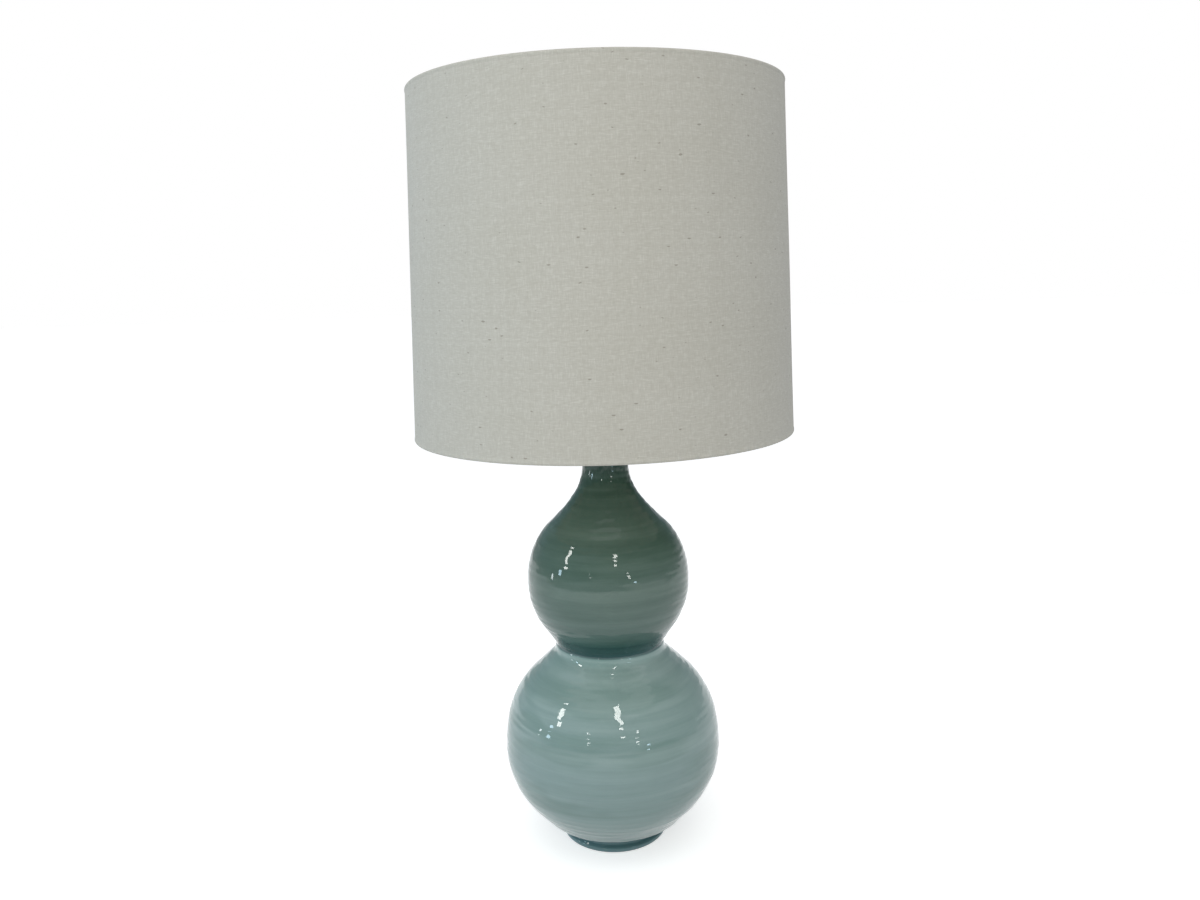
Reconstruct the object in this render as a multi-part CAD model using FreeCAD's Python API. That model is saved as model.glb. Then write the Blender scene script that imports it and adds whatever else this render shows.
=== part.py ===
import FreeCAD, Part
import math
import os

# A double gourd table lamp: a glazed body of two thrown globes, brass fittings, a harp and a drum shade.
# Millimetres, +Z up.  The origin is the centre of the face that the lamp rests on, and -Y is the front.

# Ceramic body
ceramic_wall = 6.0
lower_radius = 114.1            # widest circle of the lower globe
upper_radius = 84.2             # widest circle of the upper globe
waist_radius = 57.0
collar_step = 1.1               # collar's lower edge outside the waist
# The wall leaves each widest circle in tangent arcs: a bend is an arc's radius, an angle its degrees of turn
lower_belly_bend = 91.1
lower_belly_angle = 40.4
belly_end_radius = 78.5         # where the straight belly starts to turn under
tuck_bend = 9.0
tuck_angle = 37.6
lower_side_bend = 155.7
lower_side_angle = 10.7
lower_shoulder_bend = 91.2
lower_shoulder_angle = 35.6
upper_belly_bend = 80.9
upper_belly_angle = 33.7
upper_side_bend = 101.9
upper_side_angle = 13.6
upper_shoulder_bend = 76.1
upper_shoulder_angle = 34.0
neck_sweep_bend = 169.9         # first of the two hollow arcs up to the neck
neck_sweep_angle = 13.0
neck_radius = 23.8              # where the second hollow arc runs into the neck
neck_lean = 2.0                 # degrees that the straight neck still leans in
waist_fillet = 9.0
waist_wall_height = 3.1         # upright strip between the fillet and the crease
crease_depth = 1.1
crease_height = 2.2
collar_strip = 2.2              # nearly upright strip above the crease
collar_bulge = 0.3
neck_length = 42.4
lip_round = 2.4
base_hole_play = 0.6

# Foot ring
foot_height = 20.8              # rest of the ring up to the underside of the globe
foot_radius = 54.1
foot_flare = 3.4                # top of the cove outside the ring's foot
foot_band_height = 6.4
foot_band_bulge = 1.8
foot_cove_depth = 2.4
foot_wall = 8.0
foot_floor = 4.8                # ceramic between the recess and the underside of the globe
felt_thickness = 1.0
felt_margin = 2.6               # felt edge inside the foot's edge

# Lamp pipe and the hardware that clamps the body
pipe_radius = 5.0
pipe_wall = 1.6
pipe_tail = 2.5                 # pipe below the nut
pipe_head = 9.0                 # pipe above the saddle
hole_clearance = 0.2
base_washer_radius = 19.0
base_washer_thickness = 1.8
lock_washer_radius = 8.8
lock_washer_thickness = 1.4
lock_washer_teeth = 12
tooth_gap_width = 1.4
tooth_gap_depth = 2.2
nut_across_flats = 14.3
nut_thickness = 5.0

# Cord hole in the back of the foot
cord_hole_radius = 5.0
cord_hole_cover = 2.0           # recess's ceiling above the hole
cord_bore_radius = 3.3
grommet_flange_radius = 7.4
grommet_flange = 1.6
grommet_squeeze = 0.05

# Cap and neck over the ceramic
gasket_thickness = 1.2
gasket_width = 5.0
cap_sheet = 1.0
cap_overhang = 1.2              # gap between the cap's skirt and the ceramic lip
cap_skirt = 3.0
cap_dome_height = 4.0
cap_dome_spread = 6.1
cap_dome_bulge = 1.2
cap_seat_margin = 0.8           # cap's flat seat outside the neck spacer
spacer_height = 13.8
spacer_wall = 1.7               # at the waist of the spacer
spacer_flare = 1.7
spacer_rim = 1.6

# Harp and its saddle
saddle_sheet = 2.0
saddle_width = 14.0
saddle_half_span = 36.5
saddle_rise = 11.0              # saddle's underside to the shoulders that carry the harp
saddle_bend = 8.0
tab_width = 5.0
tab_height = 10.0
slot_clearance = 0.15
seat_clearance = 0.1
harp_height = 279.0             # shoulders to the shade's seat
harp_wire_radius = 1.6
harp_half_width = 57.0
harp_leg_height = 40.0
harp_flare_height = 110.0
harp_foot_bend = 60.0
harp_side_bend = 130.0
harp_top_bend = 42.0
ferrule_radius = 3.9
ferrule_height = 18.0
ferrule_web = 2.0               # metal between the tab slot and the wire
sleeve_wall = 0.6
sleeve_clearance = 0.3
sleeve_height = 15.0
boss_radius = 7.0
boss_thickness = 4.0

# Swivel stud and finial
spindle_radius = 2.5
spindle_clearance = 0.05
rivet_radius = 4.4
rivet_thickness = 1.6
seat_radius = 8.0
seat_thickness = 2.0
stud_radius = 3.1
stud_length = 14.0
stud_thread_clearance = 0.05
finial_foot_radius = 8.0
finial_foot_height = 2.4
finial_foot_bulge = 0.4
finial_neck_radius = 4.8
finial_neck_height = 3.2
finial_neck_hollow = 1.1
finial_ball_radius = 8.6
finial_tip_radius = 2.2
finial_tip_height = 1.2         # upright side of the tip, under its round end
finial_roof = 1.0               # hollow above the end of the stud

# Shade
shade_height = 334.0
shade_bottom_radius = 190.5
shade_taper = 10.1              # top's radius under the bottom's
fabric_thickness = 0.5
liner_thickness = 0.6
ring_wire_radius = 1.6
glue_gap = 0.02
spider_drop = 15.0              # top rim to the underside of the hub
spider_hub_radius = 13.5
spider_hub_thickness = 2.0
spider_arm_seat = 2.0           # arm's grip on the hub's rim
spider_wire_radius = 1.6
spider_rise_run = 29.0          # how far inside the ring the arms start to climb
spider_bend = 16.0
spider_arm_angles = [90, 210, 330]
notch_clearance = 0.3

# Socket, sized from the bulb's thread outwards
socket_gap = 1.9                # screw shell to the paper insulator
insulator_sheet = 0.6
shell_sheet = 0.5
shell_height = 51.0
shell_bead = 0.7
shell_drop = 0.3                # shell's lower edge above the cap's shoulder
socket_sheet = 0.8
socket_cap_height = 18.0
socket_hub_wall = 3.4
socket_hub_height = 4.0
socket_dome_height = 6.4
socket_dome_bulge = 2.5
insert_height = 18.0
insert_play = 1.1
insert_flat_depth = 3.0         # flats that carry the terminals
insert_start = 13.0             # insert's lower face above the saddle
insert_skirt_margin = 0.6       # hollow foot that stands on the cap's floor
insert_skirt_play = 1.0
notch_play = 1.2
screw_shell_wall = 0.4
terminal_head_radius = 2.8
terminal_head = 1.6
terminal_shank_radius = 1.5
terminal_shank = 6.0
terminal_drop = 9.0             # terminals below the top of the insert
terminal_slot = 0.8
contact_strip = 5.0
contact_sheet = 0.5
contact_lift = 3.0
contact_inset = 3.5             # contact's foot inside the thread
contact_gap = 0.1
set_screw_radius = 1.4
set_screw_proud = 1.6
set_screw_slot = 0.7
set_screw_slot_depth = 0.8

# Switch key
switch_height = 9.0             # stem above the insert's lower face
stem_radius = 2.2
stem_bore_clearance = 0.05
stem_depth = 13.0               # stem inside the insert
stem_reach = 11.0               # stem outside the shell
knob_radius = 6.2
knob_length = 10.0
knob_grip = 2.4                 # half thickness of the grip
knob_collar = 3.4
knob_gap = 3.0
knob_round = 0.8

# Bulb
bulb_radius = 30.0
bulb_glass_wall = 0.8
bulb_lower_angle = 32.0
bulb_neck_bend = 58.0
bulb_cap_grip = 3.0             # glass neck inside the metal cap
thread_pitch = 3.63
thread_turns = 5
thread_crest = 13.05
thread_depth = 0.65
thread_play = 0.4
bulb_cap_wall = 0.4
bulb_cap_collar = 3.6
bulb_contact_radius = 4.6
bulb_contact_height = 1.6
bulb_insulator_height = 3.4
bulb_insulator_radius = 5.6
bulb_insulator_bulge = 0.9
stem_glass_height = 34.0
stem_glass_radius = 3.2
stem_flare_height = 12.0
stem_flare_land = 0.8           # flare's rim against the glass neck
stem_flare_hollow = 2.4
lead_wire_radius = 0.4
lead_spread = 8.0
lead_height = 19.0
lead_seat = 3.0                 # lead wires inside the glass stem
lead_foot_spread = 1.0
filament_radius = 0.35
filament_rise = 3.2

origin = FreeCAD.Vector(0, 0, 0)
up = FreeCAD.Vector(0, 0, 1)
right = FreeCAD.Vector(1, 0, 0)
back = FreeCAD.Vector(0, 1, 0)


# ---- outlines in the XZ plane, given as (radius, height) ----

def spot(place):
    return FreeCAD.Vector(place[0], 0, place[1])


def straight(start, end):
    return Part.LineSegment(spot(start), spot(end)).toShape()


def bow(start, through, end):
    return Part.Arc(spot(start), spot(through), spot(end)).toShape()


def quarter(centre, radius, first, last):
    # An arc about a centre between two directions in degrees, 0 outward and 90 upward
    def on_arc(angle):
        turn = math.radians(angle)
        return (centre[0] + radius * math.cos(turn), centre[1] + radius * math.sin(turn))
    return bow(on_arc(first), on_arc((first + last) / 2), on_arc(last))


def bulged(start, end, bulge):
    # An arc that stands off its chord by the bulge, on the right of the way from start to end
    length = math.hypot(end[0] - start[0], end[1] - start[1])
    across = ((end[1] - start[1]) / length, (start[0] - end[0]) / length)
    middle = [(a + b) / 2 + side * bulge for a, b, side in zip(start, end, across)]
    return bow(start, middle, end)


def joined(corners):
    return [straight(a, b) for a, b in zip(corners, corners[1:])]


def turned(edges):
    outline = Part.Wire(Part.__sortEdges__(edges))
    return Part.Face(outline).revolve(origin, up, 360)


def turned_corners(corners):
    return turned(joined(corners + corners[:1]))


def tube(outer, inner, bottom, top):
    return turned_corners([(inner, bottom), (outer, bottom), (outer, top), (inner, top)])


def disc(radius, bottom, top):
    return Part.makeCylinder(radius, top - bottom, FreeCAD.Vector(0, 0, bottom))


def block(width, depth, bottom, top):
    corner = FreeCAD.Vector(-width / 2, -depth / 2, bottom)
    return Part.makeBox(width, depth, top - bottom, corner)


def rod(radius, start, end):
    run = end.sub(start)
    return Part.makeCylinder(radius, run.Length, start, run)


def moved(shape, x=0.0, y=0.0, z=0.0):
    return shape.translated(FreeCAD.Vector(x, y, z))


def spun(shape, angle):
    copy = shape.copy()
    copy.rotate(origin, up, angle)
    return copy


def rounded_path(corners, bends):
    # Straight runs joined by tangent arcs; bends holds the arc radius at each inner corner
    edges = []
    start = corners[0]
    for before, corner, after, bend in zip(corners, corners[1:], corners[2:], bends):
        inward = before.sub(corner).normalize()
        outward = after.sub(corner).normalize()
        half = inward.getAngle(outward) / 2
        setback = bend / math.tan(half)
        middle = inward.add(outward).normalize()
        arc_start = corner.add(inward.multiply(setback))
        arc_end = corner.add(outward.multiply(setback))
        arc_middle = corner.add(middle.multiply(bend / math.sin(half) - bend))
        edges.append(Part.LineSegment(start, arc_start).toShape())
        edges.append(Part.Arc(arc_start, arc_middle, arc_end).toShape())
        start = arc_end
    edges.append(Part.LineSegment(start, corners[-1]).toShape())
    return Part.Wire(edges)


def bent_wire(corners, bends, radius):
    path = rounded_path(corners, bends)
    section = Part.Wire(Part.makeCircle(radius, corners[0], corners[1].sub(corners[0])))
    return path.makePipeShell([section], True, False)


class Run:
    # A chain of tangent arcs and straights that leaves a widest circle upward (sense 1) or downward (-1)
    def __init__(self, radius, height, sense):
        self.place = (radius, height)
        self.sense = sense
        self.lean = 0.0
        self.pieces = []

    def bend(self, arc_radius, degrees):
        turn = math.radians(degrees) * (1 if arc_radius > 0 else -1)
        r, z = self.place
        stops = []
        for share in (0, 0.5, 1):
            lean = self.lean + turn * share
            stops.append((r + arc_radius * (math.cos(lean) - math.cos(self.lean)),
                          z + self.sense * arc_radius * (math.sin(lean) - math.sin(self.lean)), lean))
        self.pieces.append(stops)
        self.place = stops[2][:2]
        self.lean = stops[2][2]
        return self

    def straight_by(self, length):
        r, z = self.place
        end = (r - length * math.sin(self.lean), z + self.sense * length * math.cos(self.lean))
        self.pieces.append([(r, z, self.lean), (end[0], end[1], self.lean)])
        self.place = end
        return self

    def straight_to(self, radius):
        return self.straight_by((self.place[0] - radius) / math.sin(self.lean))

    def edges(self, inset=0.0):
        # The run's edges, moved square to themselves towards the axis by the inset
        shapes = []
        for stops in self.pieces:
            places = [(r - inset * math.cos(lean), z - inset * self.sense * math.sin(lean))
                      for r, z, lean in stops]
            shapes.append(bow(*places) if len(places) == 3 else straight(*places))
        return shapes

    def end(self, inset=0.0):
        r, z = self.place
        return (r - inset * math.cos(self.lean), z - inset * self.sense * math.sin(self.lean))


# ---- heights that follow from the sizes above ----

def belly_run(height):
    run = Run(lower_radius, height, -1).bend(lower_belly_bend, lower_belly_angle)
    return run.straight_to(belly_end_radius).bend(tuck_bend, tuck_angle).straight_to(foot_radius + foot_flare)


def shoulder_run(height):
    run = Run(lower_radius, height, 1).bend(lower_side_bend, lower_side_angle)
    run.bend(lower_shoulder_bend, lower_shoulder_angle)
    run.straight_to(waist_radius + waist_fillet * (1 - math.cos(run.lean)))
    return run.bend(-waist_fillet, math.degrees(run.lean))


def collar_run(height):
    run = Run(upper_radius, height, -1).bend(upper_belly_bend, upper_belly_angle)
    return run.straight_to(waist_radius + collar_step)


def upper_shoulder_run(height):
    run = Run(upper_radius, height, 1).bend(upper_side_bend, upper_side_angle)
    return run.bend(upper_shoulder_bend, upper_shoulder_angle)


def neck_run(height):
    # The last hollow arc takes the radius that brings the shoulder to the neck
    run = upper_shoulder_run(height).bend(-neck_sweep_bend, neck_sweep_angle)
    neck_turn = math.degrees(run.lean) - neck_lean
    hollow = (run.place[0] - neck_radius) / (math.cos(math.radians(neck_lean)) - math.cos(run.lean))
    return run.bend(-hollow, neck_turn).straight_by(neck_length)


foot_bottom = felt_thickness
foot_top = foot_bottom + foot_height
lower_middle = foot_top - belly_run(0).end()[1]
waist = shoulder_run(lower_middle).end()[1] + waist_wall_height
crease_bottom = waist + crease_height / 2
collar_bottom = waist + crease_height + collar_strip
upper_middle = collar_bottom - collar_run(0).end()[1]
neck_foot = upper_shoulder_run(upper_middle).end()[1]
neck_end = neck_run(upper_middle).end()
neck_top = neck_end[1] + lip_round
recess_top = foot_top - foot_floor
cord_hole_height = recess_top - cord_hole_cover - cord_hole_radius
hardware_bore = pipe_radius + hole_clearance
spacer_end_radius = hardware_bore + spacer_wall + spacer_flare
cap_seat_radius = spacer_end_radius + cap_seat_margin

gasket_top = neck_top + gasket_thickness
cap_flat_top = gasket_top + cap_sheet
cap_top = cap_flat_top + cap_dome_height
saddle_bottom = cap_top + spacer_height
saddle_top = saddle_bottom + saddle_sheet
shoulder_height = saddle_bottom + saddle_rise
shade_seat = shoulder_height + harp_height
hub_bottom = shade_seat
hub_top = hub_bottom + spider_hub_thickness
shade_top = hub_bottom + spider_drop
shade_bottom = shade_top - shade_height
edge_roll = ring_wire_radius + glue_gap + fabric_thickness
top_ring_height = shade_top - edge_roll
bottom_ring_height = shade_bottom + edge_roll
ring_inset = ring_wire_radius + glue_gap + liner_thickness + fabric_thickness
top_ring_radius = shade_bottom_radius - shade_taper - ring_inset
bottom_ring_radius = shade_bottom_radius - ring_inset

boss_top = shade_seat - seat_thickness - seat_clearance
boss_middle = boss_top - boss_thickness / 2
ferrule_bottom = shoulder_height + seat_clearance
screw_shell_outer = thread_crest + thread_play + screw_shell_wall
insulator_inner = screw_shell_outer + socket_gap
insulator_outer = insulator_inner + insulator_sheet
shell_outer = insulator_outer + shell_sheet
socket_cap_radius = shell_outer + socket_sheet
socket_hub_radius = pipe_radius + socket_hub_wall
socket_hub_top = saddle_top + socket_hub_height
socket_floor = socket_hub_top + socket_sheet
socket_cap_top = saddle_top + socket_cap_height
cap_rim_bottom = socket_hub_top + socket_dome_height
shell_bottom = cap_rim_bottom + shell_drop
insert_bottom = saddle_top + insert_start
insert_top = insert_bottom + insert_height
insert_radius = insulator_inner - insert_play
insert_flat = insert_radius - insert_flat_depth
notch_half_width = stem_radius + notch_play
stem_height = insert_bottom + switch_height
bulb_bottom = insert_top + contact_lift + contact_sheet + contact_gap
bulb_thread_bottom = bulb_bottom + bulb_contact_height + bulb_insulator_height
bulb_thread_top = bulb_thread_bottom + thread_turns * thread_pitch
bulb_cap_top = bulb_thread_top + bulb_cap_collar
bulb_cap_outer = thread_crest - thread_depth / 2
bulb_cap_inner = bulb_cap_outer - bulb_cap_wall
glass_bottom = bulb_cap_top - bulb_cap_grip


# ---- base ----

def ceramic_body():
    belly = belly_run(lower_middle)
    shoulder = shoulder_run(lower_middle)
    collar = collar_run(upper_middle)
    neck = neck_run(upper_middle)
    band_top = foot_bottom + foot_band_height
    inner_foot = foot_radius - foot_wall
    base_hole = pipe_radius + base_hole_play
    wall_top = (waist_radius, waist)
    crease = (waist_radius - crease_depth, crease_bottom)
    collar_lip = (waist_radius + collar_bulge, waist + crease_height)

    outer = [bulged((foot_radius, foot_bottom), (foot_radius, band_top), foot_band_bulge),
             bulged((foot_radius, band_top), belly.end(), -foot_cove_depth)]
    outer += belly.edges() + shoulder.edges()
    outer += joined([shoulder.end(), wall_top, crease, collar_lip, collar.end()])
    outer += collar.edges() + neck.edges()

    outer_lip, lip_height = neck.end()
    inner_lip = neck.end(ceramic_wall)[0]
    lip = [quarter((outer_lip - lip_round, lip_height), lip_round, 0, 90),
           straight((outer_lip - lip_round, neck_top), (inner_lip + lip_round, neck_top)),
           quarter((inner_lip + lip_round, lip_height), lip_round, 90, 180),
           straight((inner_lip, lip_height), neck.end(ceramic_wall))]

    inner_neck = neck.edges(ceramic_wall) + collar.edges(ceramic_wall)
    inner_waist = (waist_radius - ceramic_wall - crease_depth, waist)
    shoulder_straight_end = shoulder.pieces[-1][0]
    lean = shoulder_straight_end[2]
    inner_shoulder_end = (shoulder_straight_end[0] - ceramic_wall * math.cos(lean),
                          shoulder_straight_end[1] - ceramic_wall * math.sin(lean))
    throat = [bow(collar.end(ceramic_wall), inner_waist, inner_shoulder_end)]
    inner_globe = shoulder.edges(ceramic_wall)[:-1] + belly.edges(ceramic_wall)
    floor_edge = belly.end(ceramic_wall)
    bottom = joined([floor_edge, (base_hole, floor_edge[1]), (base_hole, recess_top), (inner_foot, recess_top),
                     (inner_foot, foot_bottom), (foot_radius, foot_bottom)])
    body = turned(outer + lip + inner_neck + throat + inner_globe + bottom)
    hole = rod(cord_hole_radius, FreeCAD.Vector(0, inner_foot / 2, cord_hole_height),
               FreeCAD.Vector(0, foot_radius + foot_wall, cord_hole_height))
    return body.cut(hole)


def ceramic_section(body, low, high):
    # The fired body is one piece; its foot, globes and neck are told apart where their curves meet
    return body.common(disc(lower_radius + ceramic_wall, low, high))


def felt_pad():
    return disc(foot_radius - felt_margin, 0, felt_thickness)


def base_washer():
    return tube(base_washer_radius, hardware_bore, recess_top - base_washer_thickness, recess_top)


def base_lock_washer():
    top = recess_top - base_washer_thickness
    ring = tube(lock_washer_radius, hardware_bore, top - lock_washer_thickness, top)
    tooth_gap = block(tooth_gap_width, 2 * tooth_gap_depth, top - lock_washer_thickness, top)
    for index in range(lock_washer_teeth):
        ring = ring.cut(spun(moved(tooth_gap, y=lock_washer_radius), index * 360 / lock_washer_teeth))
    return ring


def base_nut():
    top = recess_top - base_washer_thickness - lock_washer_thickness
    bottom = top - nut_thickness
    flat_radius = nut_across_flats / 2
    corner_radius = nut_across_flats / math.sqrt(3)
    corners = [FreeCAD.Vector(corner_radius * math.cos(math.radians(60 * i)),
                              corner_radius * math.sin(math.radians(60 * i)), bottom) for i in range(7)]
    prism = Part.Face(Part.makePolygon(corners)).extrude(FreeCAD.Vector(0, 0, nut_thickness))
    bevelled = turned_corners([(0, bottom), (flat_radius, bottom),
                               (corner_radius, bottom + corner_radius - flat_radius),
                               (corner_radius, top), (0, top)])
    return prism.common(bevelled).cut(disc(pipe_radius, bottom - 1, top + 1))


def lamp_pipe():
    bottom = recess_top - base_washer_thickness - lock_washer_thickness - nut_thickness - pipe_tail
    return tube(pipe_radius, pipe_radius - pipe_wall, bottom, saddle_top + pipe_head)


def cord_grommet(body):
    # A rubber bush: its flanges take the curve of the foot's wall from the body itself
    inside = foot_radius - foot_wall - grommet_flange
    outside = foot_radius + foot_band_bulge + grommet_flange
    wall_middle = foot_radius - foot_wall / 2

    def along(start, end, radius):
        return rod(radius, FreeCAD.Vector(0, start, cord_hole_height),
                   FreeCAD.Vector(0, end, cord_hole_height))

    bush = along(inside, outside, cord_hole_radius - grommet_squeeze)
    bush = bush.fuse([along(inside, wall_middle, grommet_flange_radius),
                      along(wall_middle, outside, grommet_flange_radius)])
    bush = bush.cut(body).cut(along(inside - 1, outside + 1, cord_bore_radius))
    return max(bush.Solids, key=lambda solid: solid.Volume)


# ---- cap and neck ----

def neck_gasket():
    return tube(neck_end[0], neck_end[0] - gasket_width, neck_top, gasket_top)


def vase_cap():
    skirt = neck_end[0] + cap_overhang
    edge = skirt + cap_sheet
    skirt_bottom = gasket_top - cap_skirt
    dome_foot = cap_seat_radius + cap_dome_spread
    under_seat = cap_top - cap_sheet
    outline = joined([(skirt, skirt_bottom), (edge, skirt_bottom), (edge, gasket_top)])
    outline.append(quarter((skirt, gasket_top), cap_sheet, 0, 90))
    outline.append(straight((skirt, cap_flat_top), (dome_foot, cap_flat_top)))
    outline.append(bulged((dome_foot, cap_flat_top), (cap_seat_radius, cap_top), cap_dome_bulge))
    outline += joined([(cap_seat_radius, cap_top), (hardware_bore, cap_top), (hardware_bore, under_seat),
                       (cap_seat_radius, under_seat)])
    outline.append(bulged((cap_seat_radius, under_seat), (dome_foot, gasket_top), -cap_dome_bulge))
    outline += joined([(dome_foot, gasket_top), (skirt, gasket_top), (skirt, skirt_bottom)])
    return turned(outline)


def neck_spacer():
    low = cap_top + spacer_rim
    high = saddle_bottom - spacer_rim
    outline = joined([(spacer_end_radius, high), (spacer_end_radius, saddle_bottom),
                      (hardware_bore, saddle_bottom), (hardware_bore, cap_top),
                      (spacer_end_radius, cap_top), (spacer_end_radius, low)])
    outline.append(bulged((spacer_end_radius, low), (spacer_end_radius, high), -spacer_flare))
    return turned(outline)


# ---- harp ----

def harp_saddle():
    # A strip bent to a U, then narrowed to a tab at each end
    middle = saddle_bottom + saddle_sheet / 2
    tab_top = shoulder_height + tab_height
    corners = [FreeCAD.Vector(x, 0, z) for x, z in ((-saddle_half_span, tab_top), (-saddle_half_span, middle),
                                                   (saddle_half_span, middle), (saddle_half_span, tab_top))]
    path = rounded_path(corners, [saddle_bend, saddle_bend])
    start = corners[0]
    half_sheet = saddle_sheet / 2
    half_width = saddle_width / 2
    section = Part.makePolygon([start.add(FreeCAD.Vector(x, y, 0)) for x, y in (
        (-half_sheet, -half_width), (half_sheet, -half_width), (half_sheet, half_width),
        (-half_sheet, half_width), (-half_sheet, -half_width))])
    strip = path.makePipeShell([section], True, False)
    reach = 2 * saddle_half_span + 4 * saddle_sheet
    keep = block(reach, saddle_width, saddle_bottom - 1, shoulder_height)
    keep = keep.fuse(block(reach, tab_width, saddle_bottom, tab_top + 1))
    return strip.common(keep).cut(disc(hardware_bore, saddle_bottom - 1, saddle_top + 1))


def harp_loop():
    wire_end = shoulder_height + tab_height + seat_clearance + ferrule_web
    leg_top = shoulder_height + harp_leg_height
    flare_top = shoulder_height + harp_flare_height
    half = [(saddle_half_span, wire_end), (saddle_half_span, leg_top), (harp_half_width, flare_top),
            (harp_half_width, boss_middle)]
    corners = [FreeCAD.Vector(-x, 0, z) for x, z in half]
    corners += [FreeCAD.Vector(x, 0, z) for x, z in reversed(half)]
    side_bends = [harp_foot_bend, harp_side_bend, harp_top_bend]
    wire = bent_wire(corners, side_bends + side_bends[::-1], harp_wire_radius)
    eye = disc(boss_radius, boss_top - boss_thickness, boss_top)
    bore = disc(spindle_radius + spindle_clearance, boss_top - boss_thickness - 1, boss_top + 1)
    return wire.fuse(eye).cut(bore)


def harp_ferrule(x):
    top = ferrule_bottom + ferrule_height
    slot_top = shoulder_height + tab_height + seat_clearance
    slot = block(saddle_sheet + 2 * slot_clearance, tab_width + 2 * slot_clearance,
                 ferrule_bottom - 1, slot_top)
    wire_hole = disc(harp_wire_radius, slot_top + ferrule_web, top + 1)
    return moved(disc(ferrule_radius, ferrule_bottom, top).cut(slot).cut(wire_hole), x=x)


def harp_ferrules():
    return Part.makeCompound([harp_ferrule(-saddle_half_span), harp_ferrule(saddle_half_span)])


def harp_sleeve(x):
    inner = ferrule_radius + sleeve_clearance
    return moved(tube(inner + sleeve_wall, inner, ferrule_bottom, ferrule_bottom + sleeve_height), x=x)


def harp_swivel_stud():
    rivet_top = boss_top - boss_thickness - seat_clearance
    rivet = disc(rivet_radius, rivet_top - rivet_thickness, rivet_top)
    spindle = disc(spindle_radius, rivet_top - rivet_thickness / 2, shade_seat)
    seat = disc(seat_radius, shade_seat - seat_thickness, shade_seat)
    stud = disc(stud_radius, shade_seat - seat_thickness, shade_seat + stud_length)
    return rivet.fuse([spindle, seat, stud]).removeSplitter()


def finial():
    bottom = hub_top + seat_clearance
    foot_top_height = bottom + finial_foot_height
    neck_top_height = foot_top_height + finial_neck_height
    ball_middle = neck_top_height + math.sqrt(finial_ball_radius ** 2 - finial_neck_radius ** 2)
    tip_bottom = ball_middle + math.sqrt(finial_ball_radius ** 2 - finial_tip_radius ** 2)
    tip_side_top = tip_bottom + finial_tip_height
    tip_top = tip_side_top + finial_tip_radius
    bore = stud_radius + stud_thread_clearance
    bore_top = shade_seat + stud_length + finial_roof
    outline = [straight((bore, bottom), (finial_foot_radius, bottom)),
               bulged((finial_foot_radius, bottom), (finial_foot_radius, foot_top_height), finial_foot_bulge),
               bulged((finial_foot_radius, foot_top_height), (finial_neck_radius, neck_top_height),
                      -finial_neck_hollow),
               bow((finial_neck_radius, neck_top_height), (finial_ball_radius, ball_middle),
                   (finial_tip_radius, tip_bottom)),
               straight((finial_tip_radius, tip_bottom), (finial_tip_radius, tip_side_top)),
               quarter((0, tip_side_top), finial_tip_radius, 0, 90)]
    outline += joined([(0, tip_top), (0, bore_top), (bore, bore_top), (bore, bottom)])
    return turned(outline)


# ---- shade ----

def shade_ring(radius, height):
    return Part.makeTorus(radius, ring_wire_radius, FreeCAD.Vector(0, 0, height), up)


def spider_arm(angle, radius):
    height = hub_bottom + spider_hub_thickness / 2
    corners = [FreeCAD.Vector(r, 0, z) for r, z in (
        (spider_hub_radius - spider_arm_seat, height), (top_ring_radius - spider_rise_run, height),
        (top_ring_radius, top_ring_height))]
    return spun(bent_wire(corners, [spider_bend], radius), angle)


def spider_arms():
    welds = [spider_hub(), shade_ring(top_ring_radius, top_ring_height)]
    arms = [spider_arm(angle, spider_wire_radius).cut(welds) for angle in spider_arm_angles]
    return Part.makeCompound([max(arm.Solids, key=lambda solid: solid.Volume) for arm in arms])


def spider_hub():
    return tube(spider_hub_radius, stud_radius + hole_clearance, hub_bottom, hub_top)


def shade_liner():
    inner = ring_wire_radius + glue_gap
    outer = inner + liner_thickness
    return turned_corners([(bottom_ring_radius + inner, bottom_ring_height),
                           (bottom_ring_radius + outer, bottom_ring_height),
                           (top_ring_radius + outer, top_ring_height),
                           (top_ring_radius + inner, top_ring_height)])


def rolled_edge(radius, height, sense, offset):
    # The cloth's path round a ring wire: out past the liner, round the wire and back to its inner side
    wrap = ring_wire_radius + glue_gap + offset
    outside = quarter((radius + liner_thickness, height), wrap, 0, 90 * sense)
    across = straight((radius + liner_thickness, height + sense * wrap), (radius, height + sense * wrap))
    inside = quarter((radius, height), wrap, 90 * sense, 270 * sense)
    return [outside, across, inside]


def shade_fabric():
    edges = []
    for offset in (0.0, fabric_thickness):
        reach = ring_wire_radius + glue_gap + liner_thickness + offset
        edges.append(straight((bottom_ring_radius + reach, bottom_ring_height),
                              (top_ring_radius + reach, top_ring_height)))
        edges += rolled_edge(bottom_ring_radius, bottom_ring_height, -1, offset)
        edges += rolled_edge(top_ring_radius, top_ring_height, 1, offset)
    inner = ring_wire_radius + glue_gap
    outer = inner + fabric_thickness
    edges.append(straight((bottom_ring_radius, bottom_ring_height + inner),
                          (bottom_ring_radius, bottom_ring_height + outer)))
    edges.append(straight((top_ring_radius, top_ring_height - inner),
                          (top_ring_radius, top_ring_height - outer)))
    cloth = turned(edges)
    for angle in spider_arm_angles:
        cloth = cloth.cut(spider_arm(angle, spider_wire_radius + notch_clearance))
    return max(cloth.Solids, key=lambda solid: solid.Volume)


# ---- socket ----

def key_notch(outer):
    # Straight-sided opening for the switch stem, open at the lower edge and facing the front
    top = stem_height + notch_half_width
    return Part.makeBox(2 * notch_half_width, outer, top - shell_bottom + 1,
                        FreeCAD.Vector(-notch_half_width, -1.5 * outer, shell_bottom - 1))


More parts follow.
